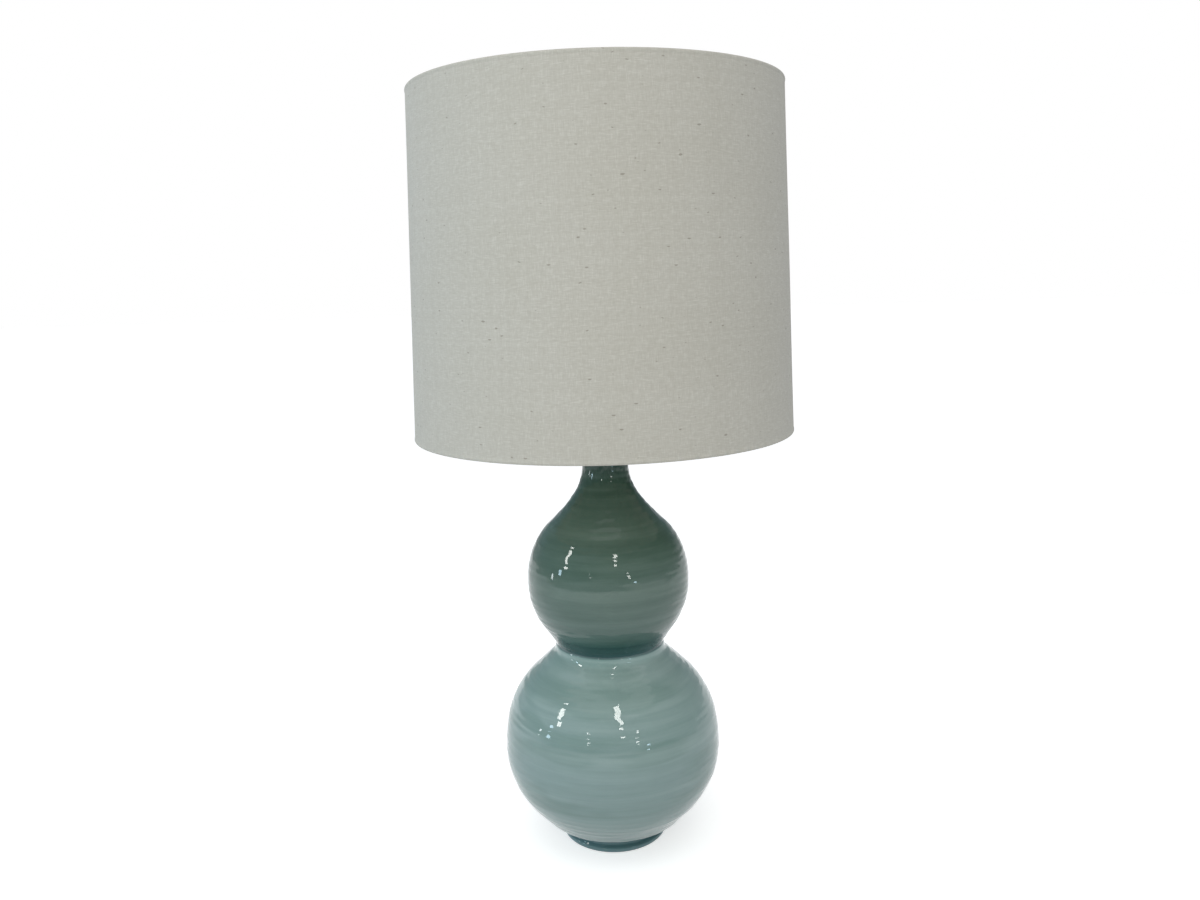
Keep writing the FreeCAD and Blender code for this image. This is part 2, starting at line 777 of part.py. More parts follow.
def socket_cap():
    inner = socket_cap_radius - socket_sheet
    outline = joined([(socket_hub_radius, socket_floor), (pipe_radius, socket_floor),
                      (pipe_radius, saddle_top), (socket_hub_radius, saddle_top),
                      (socket_hub_radius, socket_hub_top)])
    outline.append(bulged((socket_hub_radius, socket_hub_top), (socket_cap_radius, cap_rim_bottom),
                          socket_dome_bulge))
    outline += joined([(socket_cap_radius, cap_rim_bottom), (socket_cap_radius, socket_cap_top),
                       (inner, socket_cap_top), (inner, cap_rim_bottom)])
    outline.append(bulged((inner, cap_rim_bottom), (socket_hub_radius, socket_floor), -socket_dome_bulge))
    screw_height = saddle_top + socket_hub_height / 2
    screw_hole = rod(set_screw_radius, FreeCAD.Vector(0, 0, screw_height),
                     FreeCAD.Vector(0, socket_hub_radius + 1, screw_height))
    return turned(outline).cut(screw_hole)


def socket_set_screw():
    height = saddle_top + socket_hub_height / 2
    end = socket_hub_radius + set_screw_proud
    screw = rod(set_screw_radius, FreeCAD.Vector(0, pipe_radius, height), FreeCAD.Vector(0, end, height))
    slot = Part.makeBox(2 * set_screw_radius, set_screw_slot_depth, set_screw_slot,
                        FreeCAD.Vector(-set_screw_radius, end - set_screw_slot_depth,
                                       height - set_screw_slot / 2))
    return screw.cut(slot)


def socket_shell():
    top = shell_bottom + shell_height
    bead_bottom = top - 2 * shell_bead
    outline = joined([(shell_outer, top), (insulator_outer, top), (insulator_outer, shell_bottom),
                      (shell_outer, shell_bottom), (shell_outer, bead_bottom)])
    outline.append(bulged((shell_outer, bead_bottom), (shell_outer, top), shell_bead))
    return turned(outline).cut(key_notch(shell_outer))


def socket_insulator():
    top = shell_bottom + shell_height - 2 * shell_bead
    sleeve = tube(insulator_outer, insulator_inner, shell_bottom + shell_drop, top)
    return sleeve.cut(key_notch(insulator_outer))


def terminal_places():
    return [(side, insert_top - terminal_drop) for side in (-1, 1)]


def socket_insert():
    core = disc(insert_radius, insert_bottom, insert_top)
    core = core.common(block(2 * insert_flat, 2 * insert_radius, insert_bottom, insert_top))
    core = core.fuse(tube(socket_hub_radius - insert_skirt_margin, pipe_radius + insert_skirt_play,
                          socket_floor, insert_bottom)).removeSplitter()
    bore = rod(stem_radius + stem_bore_clearance, FreeCAD.Vector(0, -insert_radius - 1, stem_height),
               FreeCAD.Vector(0, stem_depth - insert_radius + 1, stem_height))
    core = core.cut(bore)
    for side, height in terminal_places():
        core = core.cut(rod(terminal_shank_radius, FreeCAD.Vector(side * (insert_flat + 1), 0, height),
                            FreeCAD.Vector(side * (insert_flat - terminal_shank), 0, height)))
    return core


def socket_terminal_screws():
    screws = []
    for side, height in terminal_places():
        face = FreeCAD.Vector(side * insert_flat, 0, height)
        head = rod(terminal_head_radius, face, face.add(FreeCAD.Vector(side * terminal_head, 0, 0)))
        shank = rod(terminal_shank_radius, face.sub(FreeCAD.Vector(side * terminal_shank, 0, 0)), face)
        groove = Part.makeBox(terminal_head, 2 * terminal_head_radius, terminal_slot,
                              FreeCAD.Vector(side * (insert_flat + terminal_head) - terminal_head / 2,
                                             -terminal_head_radius, height - terminal_slot / 2))
        screws.append(head.fuse(shank).removeSplitter().cut(groove))
    return Part.makeCompound(screws)


def thread_side(bottom, turns, offset):
    # Rolled thread as rings: a bulge and a hollow for each turn
    crest = thread_crest + offset
    middle = crest - thread_depth / 2
    edges = []
    for index in range(turns):
        low = bottom + index * thread_pitch
        half = low + thread_pitch / 2
        high = low + thread_pitch
        edges.append(bow((middle, low), (crest, (low + half) / 2), (middle, half)))
        edges.append(bow((middle, half), (crest - thread_depth, (half + high) / 2), (middle, high)))
    return edges


def socket_screw_shell():
    # Same rings as the bulb's thread, one play further out
    inner = thread_side(bulb_thread_bottom, thread_turns, thread_play)
    outer = thread_side(bulb_thread_bottom, thread_turns, thread_play + screw_shell_wall)
    inside = thread_crest + thread_play - thread_depth / 2
    outside = inside + screw_shell_wall
    edges = inner + outer
    edges.append(straight((inside, bulb_thread_top), (outside, bulb_thread_top)))
    edges += joined([(inside, bulb_thread_bottom), (inside, insert_top), (outside, insert_top),
                     (outside, bulb_thread_bottom)])
    return turned(edges)


def socket_centre_contact():
    # A strip that lies on the insert, rises and reaches over the centre
    half = contact_strip / 2
    foot_end = thread_crest - contact_inset
    ramp_foot = half + contact_lift
    lifted = insert_top + contact_lift
    corners = [(foot_end, insert_top), (foot_end, insert_top + contact_sheet),
               (ramp_foot, insert_top + contact_sheet), (half, lifted + contact_sheet),
               (-half, lifted + contact_sheet), (-half, lifted), (half - contact_sheet / 2, lifted),
               (ramp_foot - contact_sheet / 2, insert_top)]
    outline = Part.Face(Part.makePolygon([spot(corner) for corner in corners + corners[:1]]))
    return moved(outline.extrude(FreeCAD.Vector(0, contact_strip, 0)), y=-half)


# ---- switch key ----

def switch_stem():
    start = FreeCAD.Vector(0, stem_depth - insert_radius, stem_height)
    end = FreeCAD.Vector(0, -shell_outer - stem_reach, stem_height)
    return rod(stem_radius, start, end)


def switch_knob():
    # A round collar that runs out into a flat two-sided grip
    inner_end = -shell_outer - knob_gap
    outer_end = inner_end - knob_length
    collar = rod(knob_radius, FreeCAD.Vector(0, inner_end, stem_height),
                 FreeCAD.Vector(0, inner_end - knob_collar, stem_height))
    grip = rod(knob_radius, FreeCAD.Vector(0, inner_end, stem_height),
               FreeCAD.Vector(0, outer_end, stem_height))
    slab = Part.makeBox(2 * knob_grip, knob_length, 2 * knob_radius,
                        FreeCAD.Vector(-knob_grip, outer_end, stem_height - knob_radius))
    knob = collar.fuse(grip.common(slab)).removeSplitter()
    tips = [edge for edge in knob.Edges if edge.BoundBox.YMax < outer_end + 0.01]
    knob = knob.makeFillet(knob_round, tips)
    return knob.cut(switch_stem())


# ---- bulb ----

def glass_run(height):
    # The straight between the two bends ends where the neck's bend comes down upright inside the cap
    run = Run(bulb_radius, height, -1).bend(bulb_radius, bulb_lower_angle)
    run.straight_to(bulb_cap_inner + bulb_neck_bend * (1 - math.cos(run.lean)))
    return run.bend(-bulb_neck_bend, bulb_lower_angle).straight_by(bulb_cap_grip)


def bulb_glass():
    bulb_middle = glass_bottom - glass_run(0).end()[1]
    below = glass_run(bulb_middle)
    inner_radius = bulb_radius - bulb_glass_wall
    edges = below.edges() + below.edges(bulb_glass_wall)
    edges.append(straight(below.end(), below.end(bulb_glass_wall)))
    edges.append(quarter((0, bulb_middle), bulb_radius, 0, 90))
    edges.append(quarter((0, bulb_middle), inner_radius, 0, 90))
    edges.append(straight((0, bulb_middle + inner_radius), (0, bulb_middle + bulb_radius)))
    return turned(edges)


def bulb_screw_cap():
    outer = thread_side(bulb_thread_bottom, thread_turns, 0.0)
    inner = thread_side(bulb_thread_bottom, thread_turns, -bulb_cap_wall)
    edges = outer + inner
    edges += joined([(bulb_cap_outer, bulb_thread_top), (bulb_cap_outer, bulb_cap_top),
                     (bulb_cap_inner, bulb_cap_top), (bulb_cap_inner, bulb_thread_top)])
    edges.append(straight((bulb_cap_outer, bulb_thread_bottom), (bulb_cap_inner, bulb_thread_bottom)))
    return turned(edges)


def bulb_insulator():
    low = bulb_bottom + bulb_contact_height
    outline = joined([(bulb_cap_inner, bulb_thread_bottom), (0, bulb_thread_bottom), (0, low),
                      (bulb_insulator_radius, low)])
    outline.append(bulged((bulb_insulator_radius, low), (bulb_cap_inner, bulb_thread_bottom),
                          bulb_insulator_bulge))
    return turned(outline)


def bulb_contact():
    top = bulb_bottom + bulb_contact_height
    outline = joined([(bulb_contact_radius, top), (0, top), (0, bulb_bottom)])
    ball = (bulb_contact_radius ** 2 + bulb_contact_height ** 2) / (2 * bulb_contact_height)
    half = bulb_contact_radius / 2
    half_rise = ball - math.sqrt(ball ** 2 - half ** 2)
    outline.append(bow((0, bulb_bottom), (half, bulb_bottom + half_rise), (bulb_contact_radius, top)))
    return turned(outline)


def bulb_stem():
    top = glass_bottom + stem_glass_height
    rim = bulb_cap_inner - bulb_glass_wall
    rim_top = glass_bottom + stem_flare_land
    flare_top = glass_bottom + stem_flare_height
    outline = [bulged((rim, rim_top), (stem_glass_radius, flare_top), -stem_flare_hollow)]
    outline += joined([(stem_glass_radius, flare_top), (stem_glass_radius, top), (0, top), (0, glass_bottom),
                       (rim, glass_bottom), (rim, rim_top)])
    return turned(outline).cut(bulb_filament())


def bulb_filament():
    # Two lead wires that spread from the stem, and the filament that bows between their tips
    foot = glass_bottom + stem_glass_height - lead_seat
    tip = foot + lead_height
    leads = [rod(lead_wire_radius, FreeCAD.Vector(side * lead_foot_spread, 0, foot),
                 FreeCAD.Vector(side * lead_spread, 0, tip)) for side in (-1, 1)]
    arch = Part.Arc(FreeCAD.Vector(-lead_spread, 0, tip), FreeCAD.Vector(0, 0, tip + filament_rise),
                    FreeCAD.Vector(lead_spread, 0, tip)).toShape()
    start = arch.valueAt(arch.FirstParameter)
    section = Part.Wire(Part.makeCircle(filament_radius, start, arch.tangentAt(arch.FirstParameter)))
    coil = Part.Wire([arch]).makePipeShell([section], True, False)
    return leads[0].fuse([leads[1], coil])


def nodes():
    body = ceramic_body()
    return {
        "felt_pad": felt_pad(),
        "ceramic_foot": ceramic_section(body, foot_bottom, recess_top),
        "ceramic_lower_globe": ceramic_section(body, recess_top, crease_bottom),
        "ceramic_upper_globe": ceramic_section(body, crease_bottom, neck_foot),
        "ceramic_neck": ceramic_section(body, neck_foot, neck_top),
        "base_washer": base_washer(),
        "base_lock_washer": base_lock_washer(),
        "base_nut": base_nut(),
        "cord_grommet": cord_grommet(body),
        "lamp_pipe": lamp_pipe(),
        "neck_gasket": neck_gasket(),
        "vase_cap": vase_cap(),
        "neck_spacer": neck_spacer(),
        "harp_saddle": harp_saddle(),
        "harp_loop": harp_loop(),
        "harp_ferrules": harp_ferrules(),
        "harp_sleeve_left": harp_sleeve(-saddle_half_span),
        "harp_sleeve_right": harp_sleeve(saddle_half_span),
        "harp_swivel_stud": harp_swivel_stud(),
        "socket_cap": socket_cap(),
        "socket_set_screw": socket_set_screw(),
        "socket_shell": socket_shell(),
        "socket_insulator": socket_insulator(),
        "socket_insert": socket_insert(),
        "socket_screw_shell": socket_screw_shell(),
        "socket_centre_contact": socket_centre_contact(),
        "socket_terminal_screws": socket_terminal_screws(),
        "switch_stem": switch_stem(),
        "switch_knob": switch_knob(),
        "bulb_glass": bulb_glass(),
        "bulb_screw_cap": bulb_screw_cap(),
        "bulb_insulator": bulb_insulator(),
        "bulb_contact": bulb_contact(),
        "bulb_stem": bulb_stem(),
        "bulb_filament": bulb_filament(),
        "shade_fabric": shade_fabric(),
        "shade_liner": shade_liner(),
        "shade_top_ring": shade_ring(top_ring_radius, top_ring_height),
        "shade_bottom_ring": shade_ring(bottom_ring_radius, bottom_ring_height),
        "spider_hub": spider_hub(),
        "spider_arms": spider_arms(),
        "finial": finial(),
    }


def main():
    os.makedirs("parts", exist_ok=True)
    for name, shape in nodes().items():
        shape.exportStep("parts/%s.step" % name)
        box = shape.BoundBox
        print("%-24s solids %d valid %s volume %10.1f  z %7.2f to %7.2f" % (
            name, len(shape.Solids), shape.isValid(), shape.Volume, box.ZMin, box.ZMax))
    print("lower middle %.1f waist %.1f upper middle %.1f neck top %.1f" % (
        lower_middle, waist, upper_middle, neck_top))
    print("shoulder %.1f seat %.1f shade %.1f to %.1f" % (
        shoulder_height, shade_seat, shade_bottom, shade_top))


main()
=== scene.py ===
import bmesh
import bpy
import math
from mathutils import Matrix, Vector, noise


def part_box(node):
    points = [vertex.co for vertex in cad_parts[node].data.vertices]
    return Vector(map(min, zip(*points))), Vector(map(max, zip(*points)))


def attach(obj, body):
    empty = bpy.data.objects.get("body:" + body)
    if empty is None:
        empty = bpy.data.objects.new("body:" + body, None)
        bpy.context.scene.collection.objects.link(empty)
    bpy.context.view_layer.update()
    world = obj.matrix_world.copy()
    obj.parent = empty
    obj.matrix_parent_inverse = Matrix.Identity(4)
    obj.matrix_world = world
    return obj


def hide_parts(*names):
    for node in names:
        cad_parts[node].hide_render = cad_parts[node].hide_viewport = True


# A double gourd table lamp: celadon glaze, linen drum shade, brass fittings.
# Sizes are in millimetres, and the studio's in metres. Noise scales are in cells per metre.

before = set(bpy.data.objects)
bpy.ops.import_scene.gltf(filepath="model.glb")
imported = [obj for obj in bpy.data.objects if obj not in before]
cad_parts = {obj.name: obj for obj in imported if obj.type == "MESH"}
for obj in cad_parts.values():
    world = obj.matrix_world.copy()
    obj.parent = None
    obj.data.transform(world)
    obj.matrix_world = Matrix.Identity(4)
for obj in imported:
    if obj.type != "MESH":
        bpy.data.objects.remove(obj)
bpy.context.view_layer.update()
mm = 0.001


# Colours are written as they look, 0 to 255

def tint(red, green, blue):
    def linear(level):
        share = level / 255
        return share / 12.92 if share <= 0.04045 else ((share + 0.055) / 1.055) ** 2.4
    return (linear(red), linear(green), linear(blue), 1.0)


# One material, with short ways to add nodes and join them

class Finish:
    def __init__(self, name):
        self.material = bpy.data.materials.new(name)
        self.material.use_nodes = True
        self.tree = self.material.node_tree
        self.surface = self.tree.nodes["Principled BSDF"]

    def add(self, kind, inputs=None, **settings):
        node = self.tree.nodes.new("ShaderNode" + kind)
        for name, value in settings.items():
            setattr(node, name, value)
        for name, value in (inputs or {}).items():
            self.put(node.inputs[name], value)
        return node

    def put(self, socket, value):
        if isinstance(value, bpy.types.NodeSocket):
            self.tree.links.new(value, socket)
        else:
            socket.default_value = value

    def set(self, **values):
        for name, value in values.items():
            self.put(self.surface.inputs[name.replace("_", " ")], value)

    def objectPlace(self):
        return self.add("TexCoord").outputs["Object"]

    def stretched(self, place, scale):
        return self.add("Mapping", {"Vector": place, "Scale": scale}).outputs["Vector"]

    def cloud(self, place, scale=1.0, detail=3.0, rough=0.5):
        # Soft random values about 0.5
        return self.add("TexNoise", {"Vector": place, "Scale": scale, "Detail": detail,
                                     "Roughness": rough}).outputs["Fac"]

    def maths(self, operation, first, second=0.0):
        node = self.add("Math", operation=operation)
        self.put(node.inputs[0], first)
        self.put(node.inputs[1], second)
        return node.outputs[0]

    def span(self, value, low, high, toLow=0.0, toHigh=1.0):
        return self.add("MapRange", {"Value": value, "From Min": low, "From Max": high,
                                     "To Min": toLow, "To Max": toHigh}).outputs["Result"]

    def blend(self, share, first, second, kind="MIX"):
        # Sockets 6 and 7 are the Mix node's two colours, and output 2 is its result
        node = self.add("Mix", data_type="RGBA", blend_type=kind)
        self.put(node.inputs["Factor"], share)
        self.put(node.inputs[6], first)
        self.put(node.inputs[7], second)
        return node.outputs[2]

    def choose(self, share, first, second):
        # The same for two plain values
        node = self.add("Mix", data_type="FLOAT")
        self.put(node.inputs["Factor"], share)
        self.put(node.inputs[2], first)
        self.put(node.inputs[3], second)
        return node.outputs[0]

    def relief(self, height, strength, depth, below=None):
        node = self.add("Bump", {"Height": height, "Strength": strength, "Distance": depth})
        if below:
            self.put(node.inputs["Normal"], below)
        return node.outputs["Normal"]


glaze = {
    # (height, colour) up the body; the glaze is thin on the foot's edge and pools in the cove and the crease. The
    # colours also hold painted light and shade: painted shade in the foot's groove and cove, in the waist's crease
    # and groove, and over the upper globe and neck under the drum shade, and a painted lighter top on the lower globe
    # where light falls on it
    "glazeAndShadeZones": [(1.0, (112, 144, 153)), (6.6, (106, 137, 144)), (7.6, (48, 80, 84)), (9.5, (86, 120, 127)),
              (21.0, (80, 112, 114)), (27.0, (114, 138, 137)), (45.0, (124, 146, 145)),
              (110.0, (132, 154, 154)), (205.0, (150, 172, 169)), (213.6, (141, 167, 165)),
              (215.8, (48, 82, 86)), (218.0, (52, 86, 88)), (226.5, (55, 89, 88)),
              (229.0, (43, 77, 77)), (231.5, (60, 94, 91)), (240.0, (79, 104, 99)),
              (262.0, (88, 110, 104)), (300.0, (92, 113, 105)), (345.0, (77, 98, 86)),
              (385.0, (62, 84, 72)), (410.0, (50, 73, 66)), (448.0, (48, 74, 72))],
    "wander": 2.0,          # how far the zones' edges rise and fall
    # Noise scales, two across the body and one up it
    "drift": (9, 9, 14),
    "streaks": (3.2, 3.2, 92.0),    # left by the wheel
    "overlaps": (5, 5, 26),         # left by dipping
    "mottle": (70, 70, 90),
    "ripples": (22, 22, 150),
    "peel": (140, 140, 170),
    "washed": (206, 220, 216), "milky": (96, 108, 104), "dipped": (214, 226, 220), "clouded": (206, 214, 206),
    "coatRoughness": 0.015,
}


def celadonGlaze():
    finish = Finish("celadonGlaze")
    place = finish.objectPlace()

    def clouds(name, detail, rough=0.5):
        return finish.cloud(finish.stretched(place, glaze[name]), detail=detail, rough=rough)

    def toned(colour, share, name, kind):
        return finish.blend(share, colour, tint(*glaze[name]), kind)

    # The zones of glaze colour with painted light and shade, by height
    height = finish.add("SeparateXYZ", {"Vector": place}).outputs["Z"]
    wander = glaze["wander"] * mm
    height = finish.maths("ADD", height, finish.span(clouds("drift", 2.0), 0, 1, -wander, wander))
    top = glaze["glazeAndShadeZones"][-1][0] * mm
    glazeAndShadeZones = finish.add("ValToRGB", {"Fac": finish.span(height, 0, top)})
    stops = glazeAndShadeZones.color_ramp.elements
    stops[0].position, stops[0].color = glaze["glazeAndShadeZones"][0][0] * mm / top, tint(*glaze["glazeAndShadeZones"][0][1])
    stops[1].position, stops[1].color = 1.0, tint(*glaze["glazeAndShadeZones"][-1][1])
    for level, colour in glaze["glazeAndShadeZones"][1:-1]:
        stops.new(level * mm / top).color = tint(*colour)

    # Streaks that thin and thicken the glaze, then broad overlaps and a fine mottle
    streaks = clouds("streaks", 5.0, 0.6)
    colour = toned(glazeAndShadeZones.outputs["Color"], finish.span(streaks, 0.60, 0.36, 0.0, 0.42), "washed", "MULTIPLY")
    colour = toned(colour, finish.span(streaks, 0.52, 0.72, 0.0, 0.16), "milky", "SCREEN")
    overlaps = clouds("overlaps", 2.5, 0.55)
    colour = toned(colour, finish.span(overlaps, 0.50, 0.55, 0.0, 0.45), "dipped", "MULTIPLY")
    mottle = clouds("mottle", 3.0)
    colour = toned(colour, finish.span(mottle, 0.35, 0.75, 0.0, 0.10), "clouded", "SOFT_LIGHT")

    normal = finish.relief(clouds("ripples", 3.0), 0.20, 0.5 * mm)
    normal = finish.relief(clouds("peel", 1.0), 0.06, 0.2 * mm, normal)
    finish.set(Base_Color=colour, Roughness=0.45, IOR=1.5, Specular_IOR_Level=0.0, Normal=normal,
               Coat_Weight=1.0, Coat_Roughness=glaze["coatRoughness"], Coat_IOR=1.40, Coat_Normal=normal)
    return finish.material


linen = {
    "ground": (191, 190, 182),
    # shadow is the darker tone of thin slubs, and also painted shade in the gaps between the threads
    "shadow": (180, 178, 169),
    "bright": (201, 200, 193),
    "fleck": (118, 110, 98),
    "threadPitch": 0.72, "threadWaver": 0.25,
    "slubLength": 8.0,
    "slubStarts": 300.0,        # the threads' noise starts this far apart at most
    "threadTone": 0.16,         # how much of a thread's tone it keeps all along
    "weftShare": 0.55,
    "flecks": (160, 330, 1), "fleckFrom": 0.80, "fleckTo": 0.84,
}


def linenCloth():
    # The weave follows the cloth's own UV map, which is in metres
    finish = Finish("linenCloth")
    place = finish.add("UVMap", uv_map="cloth").outputs["UV"]
    axes = finish.add("SeparateXYZ", {"Vector": place})
    across, along = axes.outputs["X"], axes.outputs["Y"]
    sideways = linen["threadWaver"] * mm
    waver = finish.span(finish.cloud(place, 60.0, detail=2.0), 0, 1, -sideways, sideways)
    across = finish.maths("ADD", across, waver)
    along = finish.maths("ADD", along, waver)
    turn = math.pi / (linen["threadPitch"] * mm)
    warp = finish.maths("SINE", finish.maths("MULTIPLY", across, turn))
    weft = finish.maths("SINE", finish.maths("MULTIPLY", along, turn))
    over = finish.maths("GREATER_THAN", finish.maths("MULTIPLY", warp, weft), 0.0)
    raised = finish.choose(over, finish.maths("ABSOLUTE", warp), finish.maths("ABSOLUTE", weft))

    # Each thread is thick and thin in its own places
    def threadSlubs(lengthwise, crosswise):
        number = finish.maths("FLOOR", finish.maths("DIVIDE", crosswise, linen["threadPitch"] * mm))
        chance = finish.add("TexWhiteNoise", {"W": number}, noise_dimensions="1D").outputs["Value"]
        start = finish.maths("MULTIPLY", chance, linen["slubStarts"])
        way = finish.maths("ADD", finish.maths("DIVIDE", lengthwise, linen["slubLength"] * mm), start)
        wave = finish.add("TexNoise", {"W": way, "Scale": 1.0, "Detail": 2.0}, noise_dimensions="1D")
        return mixed(wave.outputs["Fac"], chance, linen["threadTone"])

    def mixed(first, second, share):
        return finish.maths("ADD", finish.maths("MULTIPLY", first, 1 - share),
                            finish.maths("MULTIPLY", second, share))

    slubs = mixed(threadSlubs(along, across), threadSlubs(across, along), linen["weftShare"])
    haze = finish.cloud(place, 14.0, detail=3.0)
    colour = finish.blend(finish.span(slubs, 0.34, 0.60, 0.0, 1.0), tint(*linen["shadow"]), tint(*linen["ground"]))
    colour = finish.blend(finish.span(slubs, 0.55, 0.72, 0.0, 0.8), colour, tint(*linen["bright"]))
    # Painted shade in the gaps between the raised threads
    colour = finish.blend(finish.span(raised, 0.0, 0.9, 0.22, 0.0), colour, tint(*linen["shadow"]))
    colour = finish.blend(finish.span(haze, 0.35, 0.65, 0.0, 0.12), colour, tint(236, 234, 226), "MULTIPLY")
    flecks = finish.cloud(finish.stretched(place, linen["flecks"]), detail=0.0)
    flecked = finish.span(flecks, linen["fleckFrom"], linen["fleckTo"], 0.0, 0.55)
    colour = finish.blend(flecked, colour, tint(*linen["fleck"]))
    relief = finish.maths("ADD", finish.maths("MULTIPLY", raised, 0.5),
                          finish.maths("MULTIPLY", slubs, 1.2))
    finish.set(Base_Color=colour, Roughness=0.92, Sheen_Weight=0.15, Sheen_Roughness=0.5,
               Normal=finish.relief(relief, 0.30, 0.25 * mm))
    return finish.material


def brushedMetal(name, light, dark, roughness, grain=(60, 60, 260)):
    finish = Finish(name)
    place = finish.objectPlace()
    tarnish = finish.cloud(place, 38.0, detail=4.0, rough=0.6)
    scratches = finish.cloud(finish.stretched(place, grain), 6.0, detail=2.0)
    colour = finish.blend(finish.span(tarnish, 0.38, 0.68), tint(*light), tint(*dark))
    colour = finish.blend(finish.span(scratches, 0.45, 0.75, 0.0, 0.2), colour, tint(*dark))
    finish.set(Base_Color=colour, Metallic=1.0,
               Roughness=finish.span(tarnish, 0.3, 0.7, roughness - 0.05, roughness + 0.10),
               Normal=finish.relief(scratches, 0.12, 0.05 * mm))
    return finish.material


def mouldedStuff(name, light, dark, roughness, grain=420.0, depth=0.06):
    finish = Finish(name)
    place = finish.objectPlace()
    tone = finish.cloud(place, 45.0, detail=4.0)
    pores = finish.cloud(place, grain, detail=2.0)
    finish.set(Base_Color=finish.blend(finish.span(tone, 0.35, 0.68), tint(*light), tint(*dark)),
               Roughness=finish.span(pores, 0.3, 0.7, roughness - 0.05, roughness + 0.08),
               Normal=finish.relief(pores, 0.18, depth * mm))
    return finish.material


def clearGlass():
    finish = Finish("bulbClearGlass")
    place = finish.objectPlace()
    draw = finish.cloud(finish.stretched(place, (30, 30, 12)), 1.0, detail=2.0)
    dust = finish.cloud(place, 160.0, detail=3.0)
    finish.set(Base_Color=finish.blend(finish.span(dust, 0.5, 0.8, 0.0, 0.12), tint(250, 252, 251),
                                       tint(214, 216, 212)),
               Roughness=finish.span(dust, 0.45, 0.8, 0.01, 0.06), IOR=1.45, Transmission_Weight=1.0,
               Normal=finish.relief(draw, 0.05, 0.4 * mm))
    return finish.material


def shadeLiner():
    # White styrene with a lengthwise roll mark
    finish = Finish("shadeLinerSheet")
    place = finish.objectPlace()
    marks = finish.cloud(finish.stretched(place, (110, 110, 3)), 1.0, detail=3.0)
    tone = finish.cloud(place, 14.0, detail=3.0)
    colour = finish.blend(finish.span(tone, 0.35, 0.68), tint(236, 234, 227), tint(226, 223, 213))
    finish.set(Base_Color=finish.blend(finish.span(marks, 0.4, 0.7, 0.0, 0.12), colour, tint(214, 210, 200)),
               Roughness=0.42, IOR=1.5, Normal=finish.relief(marks, 0.06, 0.1 * mm))
    return finish.material


def feltWool():
    finish = Finish("feltWool")
    place = finish.objectPlace()
    fibres = finish.cloud(finish.stretched(place, (900, 300, 500)), 1.0, detail=4.0, rough=0.7)
    tufts = finish.cloud(place, 120.0, detail=3.0)
    colour = finish.blend(finish.span(fibres, 0.35, 0.68), tint(44, 58, 50), tint(70, 86, 75))
    finish.set(Base_Color=finish.blend(finish.span(tufts, 0.4, 0.7, 0.0, 0.35), colour, tint(34, 46, 40)),
               Roughness=0.97, Sheen_Weight=0.3, Normal=finish.relief(fibres, 0.6, 0.3 * mm))
    return finish.material


body = {
    "wall": 6.0, "feltThickness": 1.0,
    "lowerRadius": 114.1, "lowerBelly": [(91.1, 40.4)], "lowerShoulder": [(155.7, 10.7), (91.2, 35.6)],
    "upperRadius": 84.2, "upperBelly": [(80.9, 33.7)],
    "upperShoulder": [(101.9, 13.6), (76.1, 34.0), (-169.9, 13.0)],
    "bellyEnd": 78.5, "turnUnder": (9.0, 37.6),
    "waistRadius": 57.0, "waistFillet": 9.0, "waistWall": 3.1, "creaseDepth": 1.1, "creaseHeight": 2.2,
    "collarBulge": 0.3, "collarStep": 1.1, "collarStrip": 2.2,
    "neckRadius": 23.8, "neckLean": 2.0, "neckLength": 42.4, "lip": 2.4,
    "footHeight": 20.8, "footRadius": 54.1, "footFlare": 3.4, "footWall": 8.0, "footFloor": 4.8,
    "bandHeight": 6.4, "bandBulge": 1.8, "coveDepth": 2.4, "baseHole": 5.6,
    "step": 1.7,            # between rows of the outside
    "coarse": 6,            # the inside takes every sixth of them
    "throatRows": 8,        # rows by the waist that the inside leaves out
    "segments": 192,
    "fadeRows": 10,         # over which the hand marks come in from each end
    "ribPitch": 6.3, "ribDepth": 0.12, "ribWander": 5.0,
    "waveDepth": 0.34, "waveTurns": 0.9, "waveHeight": 17.0,    # broad unevenness left by the potter's hands
    "swayTurns": 0.7, "swayHeight": 40.0,                       # slow drift of the ribs and the groove
    "chatterDepth": 0.30, "chatterTurns": 5.0, "chatterHeight": 5.0,
    "grooveHeight": 229.0, "grooveDepth": 0.30, "grooveWidth": 0.9,
    "weld": 0.01,
}


class Outline:
    # A line of (radius, height) points that runs on in tangent arcs and straights
    def __init__(self, radius, height, sense, step):
        self.points = [(radius, height)]
        self.lean = 0.0
        self.sense = sense
        self.step = step

    def arc(self, radius, degrees):
        turn = math.radians(degrees) * (1 if radius > 0 else -1)
        r, z = self.points[-1]
        start = self.lean
        rows = max(2, round(abs(radius * turn) / self.step))
        for row in range(1, rows + 1):
            lean = start + turn * row / rows
            self.points.append((r + radius * (math.cos(lean) - math.cos(start)),
                                z + self.sense * radius * (math.sin(lean) - math.sin(start))))
        self.lean = start + turn
        return self

    def arcs(self, pairs):
        for radius, degrees in pairs:
            self.arc(radius, degrees)
        return self

    def straight(self, length):
        r, z = self.points[-1]
        rows = max(1, round(length / self.step))
        for row in range(1, rows + 1):
            way = length * row / rows
            self.points.append((r - way * math.sin(self.lean), z + self.sense * way * math.cos(self.lean)))
        return self

    def straightTo(self, radius):
        return self.straight((self.points[-1][0] - radius) / math.sin(self.lean))

    def inset(self, depth):
        # The same line further in, square to itself
        moved = []
        line = self.points
        for before, here, after in zip([line[0]] + line, line, line[1:] + [line[-1]]):
            way = Vector((after[0] - before[0], after[1] - before[1])).normalized()
            moved.append((here[0] - way.y * depth * self.sense, here[1] + way.x * depth * self.sense))
        return moved


